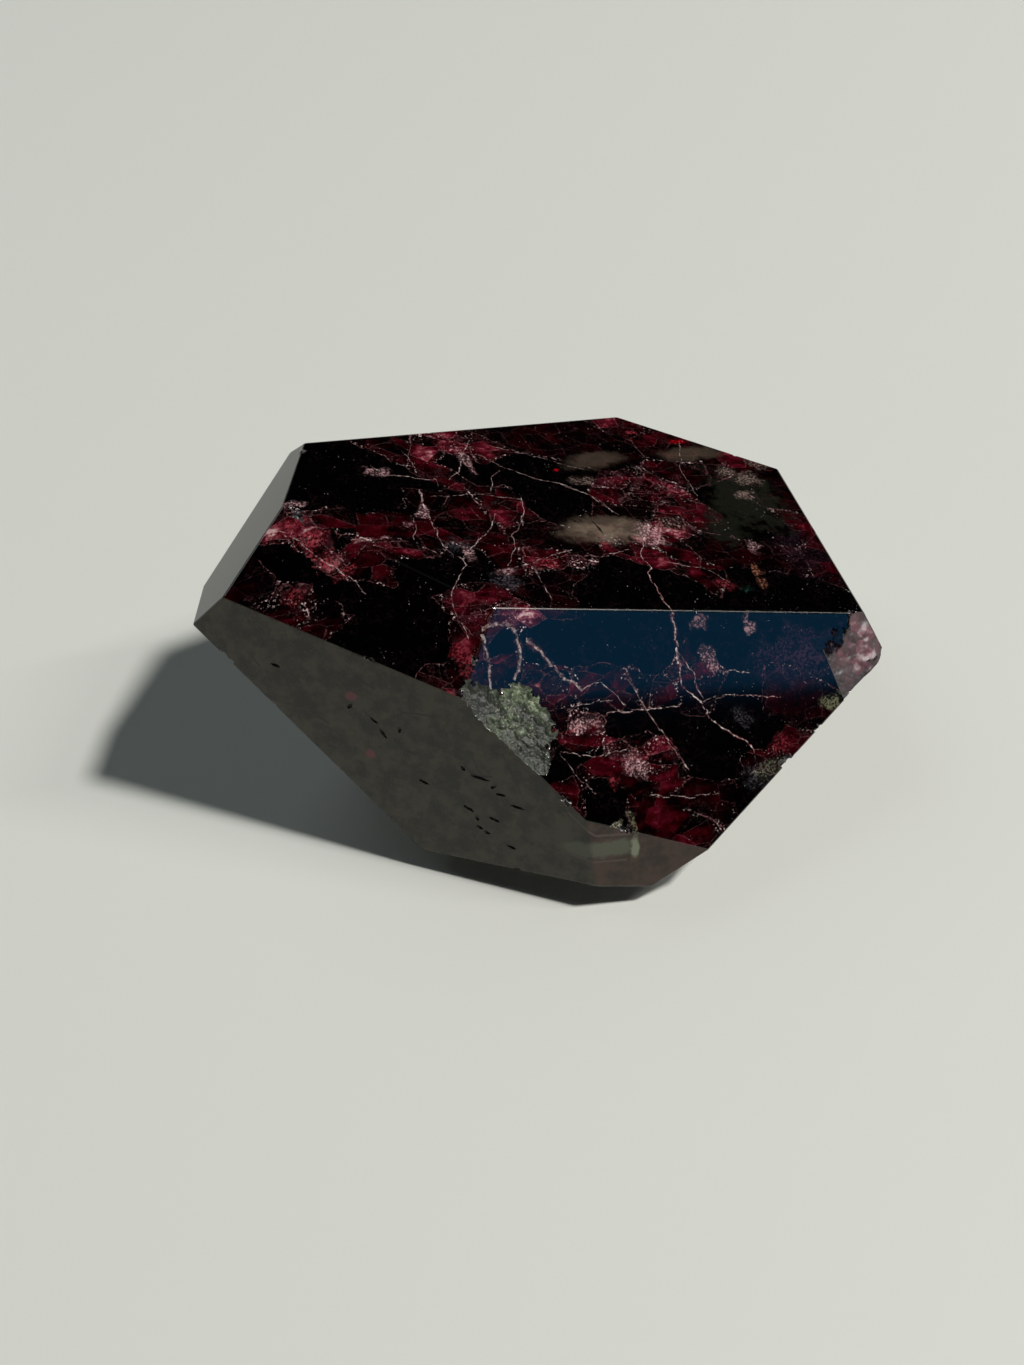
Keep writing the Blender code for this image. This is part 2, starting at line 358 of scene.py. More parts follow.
def lump(radii, seed, roughness, steps, place):
    """An irregular closed lump in its place, reaching about as far along each axis as radii say."""
    bpy.ops.object.select_all(action="DESELECT")
    bpy.ops.mesh.primitive_ico_sphere_add(subdivisions=steps, radius=1)
    made = bpy.context.object
    for vert in made.data.vertices:
        vert.co *= 1.0 + roughness * noise.noise(vert.co * LUMP_DETAIL + LUMP_STRIDE * seed)
        vert.co *= Vector(radii)
    made.data.transform(Matrix.Scale(MM, 4) @ place)
    bpy.ops.object.shade_smooth()
    return made


def join_all(pieces):
    bpy.ops.object.select_all(action="DESELECT")
    for piece in pieces:
        piece.select_set(True)
    bpy.context.view_layer.objects.active = pieces[0]
    bpy.ops.object.join()
    return pieces[0]


def edge_chips():
    """Every chip's lump, centred a little outside its edge so that it bites to its depth."""
    chips = []
    for seed, (first, second, fraction, length, depth) in enumerate(EDGE_CHIPS):
        start, end = edge_ends(first, second)
        outward = (facet_plane(first)[1] + facet_plane(second)[1]).normalized()
        along = (end - start).normalized()
        side = outward.cross(along)
        axes = Matrix((along, side, outward)).transposed().to_4x4()
        radii = (length / 2, depth * CHIP_WIDTH, depth * (1 + CHIP_LIFT))
        middle = start.lerp(end, fraction) + outward * depth * CHIP_LIFT
        place = Matrix.Translation(middle) @ axes
        chips.append(lump(radii, seed, CHIP_ROUGHNESS, CHIP_STEPS, place))
    return join_all(chips)


def front_pits():
    outward = facet_plane("front")[1]
    pits = []
    for seed, (place_x, place_z, length, turn) in enumerate(FRONT_PITS):
        radii = (length / 2, PIT_WIDTH / 2, PIT_DEPTH)
        place = facet_frame(on_front(place_x, place_z), outward, math.radians(turn))
        pits.append(lump(radii, seed, PIT_ROUGHNESS, PIT_STEPS, place))
    return join_all(pits)


def cut_away(stone, cutter):
    cut = stone.modifiers.new("cut", "BOOLEAN")
    cut.operation = "DIFFERENCE"
    cut.solver = "EXACT"
    cut.object = cutter
    apply_modifier(stone, cut)
    bpy.data.objects.remove(cutter, do_unlink=True)


def make_stone():
    stone = cut_facets()
    soften_edges(stone)
    for tip_plane in TIP_BREAKS:
        cut_away(stone, tip_break(*tip_plane))
    cut_away(stone, mineral_pocket())
    cut_away(stone, edge_chips())
    cut_away(stone, front_pits())
    return stone


# A line that is drawn as a curve over a coordinate ends this far past its last point, and is far
# away beyond that.
LINE_END = 0.02
FAR_AWAY = 99.0


class Wire:
    """An output of a node. Arithmetic on it adds Math nodes to the same material."""

    def __init__(self, socket):
        self.socket = socket

    def node(self, kind, inputs=(), out=0, **settings):
        """Adds a node of a kind: its settings first, then the values or wires of its inputs."""
        made = self.socket.id_data.nodes.new("ShaderNode" + kind)
        for name, value in settings.items():
            setattr(made, name, value)
        for place, value in dict(inputs).items():
            if isinstance(value, Wire):
                self.socket.id_data.links.new(value.socket, made.inputs[place])
            else:
                made.inputs[place].default_value = value
        return Wire(made.outputs[out])

    def math(self, operation, *numbers):
        return self.node("Math", enumerate(numbers), operation=operation)

    def __add__(self, other):
        return self.math("ADD", self, other)

    __radd__ = __add__

    def __sub__(self, other):
        return self.math("SUBTRACT", self, other)

    def __rsub__(self, other):
        return self.math("SUBTRACT", other, self)

    def __mul__(self, other):
        return self.math("MULTIPLY", self, other)

    __rmul__ = __mul__

    def __abs__(self):
        return self.math("ABSOLUTE", self)

    def least(self, other):
        return self.math("MINIMUM", self, other)

    def most(self, other):
        return self.math("MAXIMUM", self, other)

    def below(self, other):
        """1 where it is less than the other, else 0."""
        return self.math("LESS_THAN", self, other)

    def fade(self, start, end):
        """0 at start and beyond it, 1 at end and beyond it, smooth between."""
        limits = {0: self, 1: start, 2: end, 3: 0.0, 4: 1.0}
        return self.node("MapRange", limits, interpolation_type="SMOOTHSTEP", clamp=False)

    def vector(self, operation, *others, out=0):
        return self.node("VectorMath", enumerate((self, *others)), out, operation=operation)

    def plus(self, other):
        """The sum of two vectors."""
        return self.vector("ADD", other)

    def scaled(self, number):
        return self.node("VectorMath", {0: self, 3: number}, operation="SCALE")

    def turned(self, angle):
        """A place seen by axes that are turned by an angle about the upright axis."""
        return self.node("VectorRotate", {0: self, 3: -angle}, rotation_type="Z_AXIS")

    def shift(self, reach):
        """A noise colour made a shift to all sides, by up to half of reach along each axis."""
        return self.vector("SUBTRACT", (0.5, 0.5, 0.5)).scaled(reach)

    def distance(self, point):
        return self.vector("DISTANCE", point, out="Value")

    def oval(self, middle, half_sizes):
        """0 in the middle of an oval ball and 1 on its skin."""
        shrink = Vector([1 / half_size for half_size in half_sizes])
        parts = {0: self, 1: shrink, 2: -middle * shrink}
        from_middle = self.node("VectorMath", parts, operation="MULTIPLY_ADD")
        return from_middle.vector("LENGTH", out="Value")

    def split(self):
        """The X, Y and Z of a vector."""
        return [Wire(output) for output in self.node("SeparateXYZ", {0: self}).socket.node.outputs]

    def curve(self, points):
        """Follows straight lines between points, each a place and the number there."""
        made = self.node("FloatCurve", {1: self})
        mapping = made.socket.node.mapping
        mapping.use_clip = False
        line = mapping.curves[0]
        line.points[0].location, line.points[1].location = points[0], points[-1]
        for spot in points[1:-1]:
            line.points.new(*spot)
        for point in line.points:
            point.handle_type = "VECTOR"
        mapping.update()
        return made

    def off_line(self, other, points):
        """How far another coordinate is from a line of points over this one, far beyond its ends."""
        before = (points[0][0] - LINE_END, FAR_AWAY)
        after = (points[-1][0] + LINE_END, FAR_AWAY)
        return abs(other - self.curve((before, *points, after)))

    def blend(self, other, share):
        """Mixes two values, this one at share 0 and the other at share 1."""
        return self.node("Mix", {0: share, 2: self, 3: other}, data_type="FLOAT")

    def tint(self, other, share):
        """Mixes two colours, this one at share 0 and the other at share 1."""
        return self.node("Mix", {0: share, 6: self, 7: other}, out=2, data_type="RGBA")

    def between(self, dark, light):
        """A colour from dark, where this value is 0, to light, where it is 1."""
        return self.node("Mix", {0: self, 6: dark, 7: light}, out=2, data_type="RGBA")

    def ramp(self, stops):
        """The colour of a value, by stops of value and colour."""
        made = self.node("ValToRGB", {0: self})
        elements = made.socket.node.color_ramp.elements
        while len(elements) < len(stops):
            elements.new(0.5)
        for element, (place, colour) in zip(elements, stops):
            element.position = place
            element.color = colour
        return made

    def noise(self, size, detail=3.0, rough=0.55, out=0):
        """Cloudy noise from 0 to 1, with features about as large as size."""
        shape = {"Vector": self, "Scale": 1.0 / size, "Detail": detail, "Roughness": rough}
        return self.node("TexNoise", shape, out)

    def cells(self, size, out="Distance", feature="F1"):
        """Cells about as large as size. Distance is measured in cells."""
        return self.node("TexVoronoi", {"Vector": self, "Scale": 1.0 / size}, out, feature=feature)


# How light a block of the stone is, from black garnet to pale pink.
BLACK, DUSKY, DARK_RED, CRIMSON, PINK = 0.02, 0.25, 0.37, 0.45, 0.52

# The blocks of the upper side that the cracks part, by how light they are: their middles in plan.
BLOCKS = {
    BLACK: (
        (-28.8, -10.4), (-24.6, -13.0), (-26.5, 4.4), (-23.6, 0.4), (-28.4, -1.9), (-19.2, 2.3),
        (-3.5, 11.9), (1.3, 9.6), (-0.6, 5.6), (5.6, -7.5), (11.6, -4.2), (-15.6, -9.6),
        (-11.9, -10.4), (26.7, 11.5), (23.3, -2.0), (30.4, 0.3), (16.4, -4.1), (-22.3, -13.5),
        (-16.8, -14.9), (-13.5, -17.3), (-23.3, -17.4), (-18.9, -18.8), (-5.8, -16.7),
        (-1.4, -15.4), (4.1, -14.5), (12.5, -12.3), (19.7, -9.3), (29.8, -6.4), (8.9, -19.8),
        (11.8, -18.8), (17.2, -18.9), (21.5, -16.9), (19.0, -20.6), (25.2, -16.3), (5.2, -27.4),
        (0.4, -25.5), (23.3, -21.7), (22.1, -14.0), (32.4, -6.6), (-22.0, 6.5), (-10.5, 9.8),
        (5.0, 13.5), (-8.5, -6.5), (-17.5, 5.0), (20.5, 16.0),
    ),
    DUSKY: (
        (-6.0, 18.8), (0.3, 21.0), (6.8, 22.0), (1.0, -6.3), (-1.4, -10.0), (19.7, 5.2),
        (32.8, 17.7), (-1.2, 0.1), (9.9, 8.3), (28.5, 5.3), (-32.8, -12.2), (-25.6, -14.0),
        (-0.9, -25.4), (19.6, -22.7), (15.9, -24.5), (10.1, -16.5), (17.2, -14.5), (28.4, -12.3),
        (-16.2, 2.2), (6.0, 17.6),
    ),
    DARK_RED: (
        (-18.5, 10.4), (14.1, 24.8), (-9.4, 1.6), (-12.8, -1.4), (-9.9, -2.8), (-7.0, -3.6),
        (-5.9, -5.9), (-24.9, -4.8), (-19.3, -9.4), (-18.8, -5.2), (-21.3, -10.8), (14.5, 3.0),
        (18.4, -1.7), (-15.5, -4.6), (-26.5, -13.6), (-25.4, -16.4), (5.0, -17.2), (9.0, -17.0),
        (12.4, -16.2), (0.8, -21.6), (4.8, -18.4), (12.9, -23.9), (11.7, -25.5), (14.7, -26.1),
        (25.8, -18.1), (4.8, -24.1), (7.7, -23.8), (2.7, -27.9), (35.4, 6.6), (33.5, 14.0),
    ),
    CRIMSON: (
        (-15.0, 10.7), (-12.9, 8.1), (-8.2, 14.8), (-5.9, 3.6), (-3.9, 4.3), (-8.9, -12.8),
        (-17.0, -7.8), (18.4, 17.2), (8.6, 11.4), (10.2, 25.9), (12.2, 1.5), (-28.4, -14.2),
        (-29.3, -12.9), (-5.0, -18.8), (-2.2, -19.2), (-0.8, -19.9), (1.4, -18.9), (-9.4, -17.3),
        (-9.3, -20.8), (3.7, -22.7), (10.0, -20.6), (27.3, -16.6), (16.0, -12.6), (17.9, 10.5),
        (-23.0, -8.5),
    ),
    PINK: (
        (-10.9, 14.3), (-28.6, -13.0), (-26.6, -7.6), (-29.6, -5.8), (-24.1, -9.0), (11.5, 13.9),
        (15.6, 14.4), (7.0, 13.3), (15.1, 7.6), (12.1, 3.7), (-0.7, -4.7), (-7.3, -16.4),
        (-4.2, -14.7), (3.7, -21.2), (8.3, -22.3), (11.4, -21.5),
    ),
}
BLOCK_STRETCH = 1.5

# The healed cracks of the upper side, as upright sheets: half width, strength, and the points that
# each passes in plan. Each fades out from VEIN_INNER to VEIN_OUTER times its half width, and the
# garnet beside it is crushed out to HALO times.
VEINS = (
    (0.038, 1.0, ((11.5, 4.2), (10.7, 0.2), (12.0, -1.5), (11.5, -2.6), (12.7, -6.2), (13.9, -8.5))),
    (0.084, 1.0, ((13.9, -8.5), (14.5, -11.3), (14.8, -13.8), (15.5, -15.0))),
    (0.042, 1.0, ((15.5, -15.0), (17.2, -15.4), (18.7, -16.9), (22.7, -17.4), (23.7, -18.0), (24.0, -19.1))),
    (0.042, 0.8, ((14.5, -11.6), (15.9, -13.0), (16.5, -13.2), (16.8, -14.5), (17.6, -15.1))),
    (0.034, 0.7, ((17.5, -15.5), (20.2, -14.0), (27.7, -12.2))),
    (0.17, 0.5, ((-7.9, -16.2), (-5.9, -15.3), (-4.4, -15.1))),
    (0.17, 0.5, ((-4.4, -15.1), (-3.7, -16.6), (-3.6, -17.8), (-4.3, -19.8))),
    (0.13, 0.5, ((-7.8, -16.6), (-7.2, -18.2), (-7.0, -19.6), (-6.9, -21.2))),
    (0.15, 0.55, ((-3.0, -15.8), (-1.3, -16.4), (0.8, -17.8), (2.3, -17.9), (3.3, -18.3))),
    (0.034, 0.8, ((3.3, -18.3), (5.5, -17.1), (6.9, -17.4), (8.4, -18.3))),
    (0.034, 0.7, ((1.5, -20.6), (3.3, -19.6), (6.8, -18.2))),
    (0.034, 0.8, ((6.2, -19.5), (9.1, -18.5), (12.6, -17.3), (15.0, -16.3))),
    (0.038, 0.6, ((0.8, -24.3), (5.4, -23.6), (8.8, -21.8))),
    (0.042, 0.6, ((8.7, -16.0), (10.1, -17.3), (12.4, -19.3), (15.9, -21.8))),
    (0.035, 0.5, ((0.8, -24.4), (3.1, -26.1), (5.0, -26.8))),
    (0.035, 0.5, ((11.2, -25.3), (15.9, -24.2), (19.6, -22.9))),
    (0.035, 0.5, ((19.7, -12.0), (23.4, -11.2))),
    (0.035, 0.55, ((-8.7, 13.2), (-6.0, 11.8), (-1.1, 10.8), (2.1, 10.9), (6.3, 9.4), (7.9, 7.4))),
    (0.03, 0.5, ((-8.0, 15.4), (-3.3, 15.5), (4.5, 14.8))),
    (0.034, 0.7, ((1.4, 10.8), (5.0, 10.0), (6.8, 8.4), (8.5, 7.2))),
    (0.038, 0.5, ((-7.0, 6.4), (-7.0, 9.2), (-6.1, 10.9))),
    (0.03, 0.5, ((-14.1, 2.8), (-12.4, 3.6), (-8.7, 5.3), (-3.3, 6.2))),
    (0.034, 0.8, ((-3.4, 6.4), (-3.1, 4.0), (-3.8, 0.2), (-4.6, -1.0), (-4.2, -3.4), (-5.0, -6.6))),
    (0.038, 0.6, ((-6.5, 2.3), (-7.1, -0.7), (-8.2, -3.1), (-9.6, -6.0), (-10.1, -7.3))),
    (0.038, 0.6, ((-5.0, -7.2), (-2.3, -5.3), (-0.3, -3.4), (2.4, -1.4))),
    (0.038, 0.6, ((4.2, -1.4), (5.8, -1.6), (9.4, 1.1))),
    (0.038, 0.5, ((-2.2, -5.6), (-1.3, -7.9), (-0.6, -9.4), (0.0, -10.9))),
    (0.035, 0.5, ((17.5, 25.6), (17.2, 19.4), (18.1, 16.6), (18.8, 14.8))),
    (0.038, 0.5, ((14.0, 0.2), (16.8, 0.3), (19.2, 0.4), (21.6, -1.1))),
    (0.093, 0.8, ((-15.3, 3.7), (-14.7, 0.6))),
    (0.038, 0.8, ((-14.7, 0.6), (-12.6, -4.5), (-12.0, -6.1), (-10.2, -6.9), (-9.7, -8.0))),
    (0.038, 0.7, ((-9.7, -8.0), (-11.2, -12.9), (-10.8, -14.6), (-9.1, -17.3))),
    (0.035, 0.5, ((-15.7, -1.5), (-15.5, -5.5))),
    (0.042, 0.6, ((-21.2, 6.4), (-19.4, 5.1), (-17.5, 5.6), (-14.9, 6.0), (-13.5, 6.3), (-13.1, 4.3))),
    (0.038, 0.6, ((-17.8, 10.6), (-16.7, 9.1), (-15.9, 6.8))),
    (0.047, 0.6, ((-12.1, 6.6), (-11.0, 8.8), (-10.5, 12.2), (-9.9, 15.4))),
    (0.084, 0.9, ((-22.5, -7.7), (-21.2, -7.1), (-20.1, -7.1))),
    (
        0.042, 0.6,
        ((-31.2, -6.6), (-28.8, -7.6), (-26.9, -8.7), (-24.4, -10.3), (-22.4, -11.4), (-20.5, -12.9)),
    ),
)
VEIN_OUTER, VEIN_INNER = 1.35, 0.55
HALO = 4.5

# Soft spots inside the stone, by kind: the middle in plan, the half sizes along the grain and
# across it, and the strength. The first kind is no spot but a painted reflection of soft light on
# the top facet, with dark streaks and dark cracks across it.
GRAIN_TURN = math.radians(26)
SPOTS = {
    # A painted reflection of soft light on the top facet.
    "painted_reflection": (
        (0.135, 0.1, 0.074, 1),
        (((6.4, 3.8), (6.2, 2.6), 1.0), ((5.9, 17.4), (4.6, 1.6), 0.3), ((18.7, 23.6), (5.2, 1.5), 0.33)),
    ),
    "soot crack": (
        (0.003, 0.002, 0.002, 1),
        (((5.6, 4.2), (0.2, 1.5), 1.0), ((9.5, 3.2), (0.15, 0.9), 0.8), ((2.9, 4.6), (0.12, 0.8), 0.7)),
    ),
    "mauve haze": (
        (0.045, 0.018, 0.032, 1),
        (((29.5, -8.0), (6.0, 3.0), 0.7), ((31.5, 8.0), (3.5, 6.0), 0.3)),
    ),
    "dark green rock": (
        (0.009, 0.0095, 0.0065, 1),
        (((25.2, 16.0), (5.5, 6.0), 0.9), ((22.0, 9.5), (3.0, 3.0), 0.8)),
    ),
    "dusty pink rock": (
        (0.17, 0.118, 0.102, 1),
        (
            ((25.8, 20.9), (2.0, 1.4), 1.0), ((25.6, 17.2), (1.6, 1.1), 1.0),
            ((23.2, 21.2), (1.6, 1.2), 0.9), ((27.6, 25.0), (1.8, 1.3), 0.9),
            ((4.6, 12.8), (1.8, 1.0), 0.8), ((14.5, 7.5), (2.4, 1.2), 0.6),
        ),
    ),
    "grey rock": (
        (0.045, 0.042, 0.05, 1),
        (
            ((-5.3, -9.2), (2.3, 1.8), 0.9), ((-11.0, -5.1), (2.1, 1.1), 0.7),
            ((22.4, -15.3), (1.0, 1.3), 0.8), ((24.5, -19.9), (2.2, 1.2), 0.8),
            ((-9.7, -23.0), (1.8, 1.8), 0.9),
        ),
    ),
    "pale pink crystal": (
        (0.5, 0.28, 0.3, 1),
        (
            ((-29.6, -3.4), (1.3, 0.6), 1.0), ((-20.6, -6.9), (2.0, 0.35), 0.9),
            ((-20.2, 5.4), (1.6, 0.8), 0.7), ((-9.8, -5.6), (0.8, 1.0), 0.8),
            ((-5.5, -7.6), (0.9, 0.7), 0.6), ((-10.0, 11.6), (0.6, 2.2), 0.7),
            ((-24.4, -9.6), (1.3, 0.4), 0.9), ((-14.7, 0.2), (0.7, 1.4), 1.0),
            ((-16.3, -3.1), (0.8, 0.6), 0.6), ((25.8, 6.7), (0.9, 1.1), 0.7),
            ((3.7, -21.0), (1.7, 0.8), 0.9), ((9.2, -22.9), (1.3, 1.3), 0.7),
            ((17.3, -8.4), (1.7, 0.6), 0.5), ((18.7, -11.2), (0.8, 0.9), 0.6),
            ((23.7, -6.6), (0.6, 1.1), 0.6), ((12.3, 4.9), (2.3, 2.1), 1.0),
        ),
    ),
    "rose crystal": (
        (0.3, 0.035, 0.05, 1),
        (
            ((-28.9, -6.0), (1.6, 1.0), 0.8), ((-26.9, -7.6), (1.6, 1.1), 1.0),
            ((-25.0, -9.2), (1.6, 1.1), 1.0), ((-23.2, -10.8), (1.3, 0.8), 0.8),
            ((-28.8, -12.9), (1.5, 0.9), 0.5), ((-0.5, -5.0), (1.2, 0.9), 0.9),
            ((-9.8, -18.6), (1.4, 1.8), 0.6), ((11.1, 25.4), (1.2, 0.4), 0.8),
            ((6.5, -25.2), (0.9, 0.7), 0.7), ((27.0, -16.8), (1.4, 1.0), 0.4),
            ((20.8, -1.6), (1.6, 1.1), 0.4),
        ),
    ),
    "orange crystal": (
        (0.4, 0.16, 0.1, 1),
        (((25.3, 2.4), (0.9, 1.1), 0.8), ((25.9, 0.2), (0.7, 0.9), 0.5)),
    ),
    "teal hollow": (
        (0.001, 0.004, 0.007, 1),
        (((32.1, -6.0), (1.4, 0.7), 1.0), ((33.9, -6.8), (1.0, 0.5), 1.0)),
    ),
    "teal crystal": ((0.01, 0.045, 0.035, 1), (((23.6, -1.3), (1.1, 0.6), 0.8),)),
    "red glint": (
        (0.55, 0.005, 0.012, 1),
        (((17.2, 26.0), (1.5, 0.5), 1.0), ((1.2, 13.9), (0.4, 0.3), 0.6)),
    ),
    "yellow green rind": (
        (0.14, 0.14, 0.085, 1),
        (
            ((36.0, -9.3), (1.6, 0.7), 0.9), ((34.0, -11.2), (1.8, 0.8), 0.9),
            ((9.4, -28.9), (0.5, 1.3), 0.7), ((25.2, -19.4), (1.6, 0.8), 0.6),
            ((27.1, -18.5), (1.2, 0.6), 0.6),
        ),
    ),
    "cream chip": ((0.4, 0.37, 0.28, 1), (((7.1, -29.2), (0.9, 0.35), 0.9),)),
}
SPOT_DEPTH = 5.0

# Smooth spots don't crumble into bits, and the first two of them have hardly ragged outlines.
SMOOTH_SPOTS = ("painted_reflection", "soot crack", "dark green rock")
EVEN_OUTLINES = SMOOTH_SPOTS[:2]

# The facets with a satin finish, each with its lighter and its darker tone, and how deep they reach.
FACET_SKIN = 0.03
SATIN_FACETS = {
    "front": ((0.05, 0.043, 0.025, 1), (0.012, 0.01, 0.006, 1)),
    "corner_front": ((0.055, 0.03, 0.02, 1), (0.02, 0.012, 0.008, 1)),
    "left_end": ((0.012, 0.012, 0.009, 1), (0.004, 0.004, 0.003, 1)),
}

# The marks of the front facets: lines by colour, half width and points (place across and height),
# and spots by colour, facet, middle, half sizes and strength.
SCRATCH_BLACK = (0.004, 0.003, 0.003, 1)
SCRATCH_DARK = (0.006, 0.005, 0.004, 1)
SCRATCH_BROWN = (0.008, 0.006, 0.005, 1)
FRONT_LINES = (
    (SCRATCH_BROWN, 0.08, ((-17.7, 21.4), (-16.7, 22.4), (-15.4, 22.7), (-13.6, 22.8), (-12.7, 22.0))),
    (SCRATCH_BLACK, 0.12, ((-21.2, 21.5), (-19.9, 20.2), (-18.9, 18.1))),
    (SCRATCH_BLACK, 0.12, ((-10.0, 17.4), (-9.2, 16.3), (-8.3, 16.0), (-6.7, 16.4))),
    (SCRATCH_DARK, 0.12, ((-5.6, 19.8), (-4.5, 17.3), (-3.4, 14.8))),
    (SCRATCH_BLACK, 0.08, ((-17.9, 18.4), (-16.7, 17.4), (-15.3, 16.9))),
    (SCRATCH_BLACK, 0.08, ((-9.2, 19.2), (-8.3, 16.9), (-7.4, 15.5))),
    (SCRATCH_BLACK, 0.07, ((-22.3, 26.6), (-21.1, 25.5), (-19.8, 24.8))),
    (SCRATCH_DARK, 0.07, ((-28.5, 20.8), (-26.6, 19.2), (-25.2, 18.4))),
    (SCRATCH_BLACK, 0.08, ((-33.9, 25.5), (-32.7, 24.1))),
    ((0.08, 0.055, 0.045, 1), 0.12, ((1.7, 14.0), (3.3, 12.5), (4.9, 11.1), (8.9, 10.7))),
    ((0.075, 0.05, 0.04, 1), 0.1, ((1.2, 9.9), (2.4, 7.9), (5.0, 7.5), (8.6, 7.2))),
)
FRONT_SPOTS = (
    ((0.13, 0.035, 0.038, 1), "front", (-22.4, 23.0), (0.8, 0.65), 1.0),
    ((0.15, 0.035, 0.042, 1), "front", (-20.7, 15.5), (0.75, 0.8), 1.0),
    ((0.08, 0.085, 0.055, 1), "front", (2.6, 8.9), (2.2, 1.2), 0.9),
    ((0.085, 0.09, 0.06, 1), "corner_front", (6.4, 9.1), (3.0, 1.3), 0.9),
    ((0.2, 0.22, 0.15, 1), "corner_front", (9.5, 8.6), (0.55, 2.6), 0.9),
)

# The colours of each finish, by a value from 0 to 1, and of each small mark.
GARNET_TONES = (
    (0.0, (0.0002, 0.0001, 0.0001, 1)),
    (0.25, (0.001, 0.0, 0.0001, 1)),
    (0.38, (0.006, 0.0, 0.0003, 1)),
    (0.5, (0.017, 0.0002, 0.001, 1)),
    (0.62, (0.034, 0.0006, 0.0028, 1)),
    (0.75, (0.076, 0.004, 0.0105, 1)),
    (0.88, (0.2, 0.035, 0.05, 1)),
    (1.0, (0.55, 0.34, 0.35, 1)),
)
VEIN_TONES = (
    (0.36, (0.1, 0.05, 0.05, 1)),
    (0.5, (0.28, 0.19, 0.18, 1)),
    (0.62, (0.8, 0.7, 0.67, 1)),
)
CRACK_COLOUR = (0.18, 0.075, 0.08, 1)
WISP_COLOUR = (0.2, 0.08, 0.09, 1)
VEIL_COLOUR = (0.1, 0.03, 0.04, 1)
# Pale bits of garnet and painted glints in one, the clumped and the lone.
FLAKE_AND_GLINT_COLOUR = (0.75, 0.58, 0.58, 1)
SPECK_AND_GLINT_COLOUR = (0.5, 0.42, 0.42, 1)
# The dark streaks across the painted reflection.
REFLECTION_STREAK_COLOUR = (0.002, 0.0015, 0.0015, 1)
MINERAL_TONES = (
    (0.0, (0.005, 0.007, 0.004, 1)),
    (0.3, (0.011, 0.016, 0.007, 1)),
    (0.5, (0.036, 0.052, 0.024, 1)),
    (0.7, (0.115, 0.15, 0.075, 1)),
    (0.85, (0.25, 0.3, 0.19, 1)),
    (1.0, (0.58, 0.63, 0.45, 1)),
)
# The painted highlights on the grit in the pocket's pool of light.
CREAM_HIGHLIGHT = (0.62, 0.62, 0.46, 1)
BROKEN_TONES = (
    (0.0, (0.01, 0.003, 0.006, 1)),
    (0.45, (0.045, 0.009, 0.017, 1)),
    (0.75, (0.12, 0.028, 0.045, 1)),
    (1.0, (0.4, 0.17, 0.2, 1)),
)

# How much each finish scatters its gloss, from 0 to 1, and the gloss of the stone and of its satin.
GARNET_IOR = 1.79
POLISH = 0.06
SATIN = 0.22
SATIN_IOR = 1.45
WORN = 0.15
BROKEN = 0.5
CRUMBLY = 0.65

# The patterns of the stone: how large each is, in millimetres, and how strongly it shows. A bend
# moves a place by up to half of its reach before a pattern reads it. A squeeze along an axis makes a
# pattern longer there.
SWIRL_SIZE, SWIRL_REACH = 7.0, 2.6
CRINKLE_SIZE, CRINKLE_REACH = 1.5, 1.3
STEP_SIZE, STEP_REACH = 0.9, 0.22
VEIN_CRINKLE = 0.5
SLAB_SWIRL = 0.5
SLAB_CRINKLE = 0.25
SLAB_TURN = math.radians(12)
SLAB_SQUEEZE = (0.5, 1.0, 1.0)
STREAK_SQUEEZE = (0.4, 1.0, 1.0)
HIDDEN_BLOCK_SIZE = 7.0
LIGHTEST_HIDDEN = 0.62
STREAK_SIZE = 1.3
GRIT_SIZE = 0.3
GLOW_SIZE = 3.5
PATCH_SIZE = 2.6
CLOUD_SIZE = 1.5
SHARD_SIZE = 2.1
SPLINTER_SIZE = 0.42
VEIL_SIZE, VEIL_STRENGTH = 1.8, 0.3
VEIN_GRAIN_SIZE = 0.6
CLUMP_SIZE = 2.4
# How strongly the pale bits and painted glints show.
CRUMB_AND_GLINT_STRENGTH = 0.9
# How dark the streaks across the painted reflection are.
REFLECTION_STREAK_STRENGTH = 0.6
MOTTLE_SIZE = 2.5
CHUNK_SIZE = 1.3
BROKEN_GRAIN_SIZE = 0.8
MINERAL_GRAIN_SIZE = 0.4
MINERAL_CLOUD_SIZE = 3.0
TIP_DIMMING = 0.45
POCKET_DIMMING = 0.84
# The painted shade of the pocket: how much darker the mineral is the deeper it lies.
POCKET_PAINTED_SHADE = 0.4
# How strong the painted pool of light on the pocket's mineral is.
PAINTED_LIGHT_GAIN = 0.45


def below_facet(place, name):
    point, outward = facet_plane(name)
    return outward.dot(point) - place.vector("DOT_PRODUCT", outward, out="Value")


def below_surface(place):
    """How far a place lies under the polished facets: 0 on a facet, more in a chip, pit or break."""
    least = FAR_AWAY
    for name in FACETS:
        least = below_facet(place, name).least(least)
    return least


def block_pattern(place):
    """How light the nearest block is, how far its border is and how far its middle is."""
    stretch = Vector((1 / BLOCK_STRETCH, 1, 1))
    squeezed = place.vector("MULTIPLY", stretch)
    first, second, level = FAR_AWAY, FAR_AWAY, BLACK
    for block_level, middles in BLOCKS.items():
        nearest = FAR_AWAY
        for middle in middles:
            nearest = squeezed.distance(on_top(*middle) * stretch).least(nearest)
        if first == FAR_AWAY:
            first = nearest
            continue
        closer = nearest.below(first)
        level = closer * block_level if level == BLACK else level.blend(block_level, closer)
        second = first.most(nearest).least(second)
        first = nearest.least(first)
    return level.most(BLACK), second - first, first


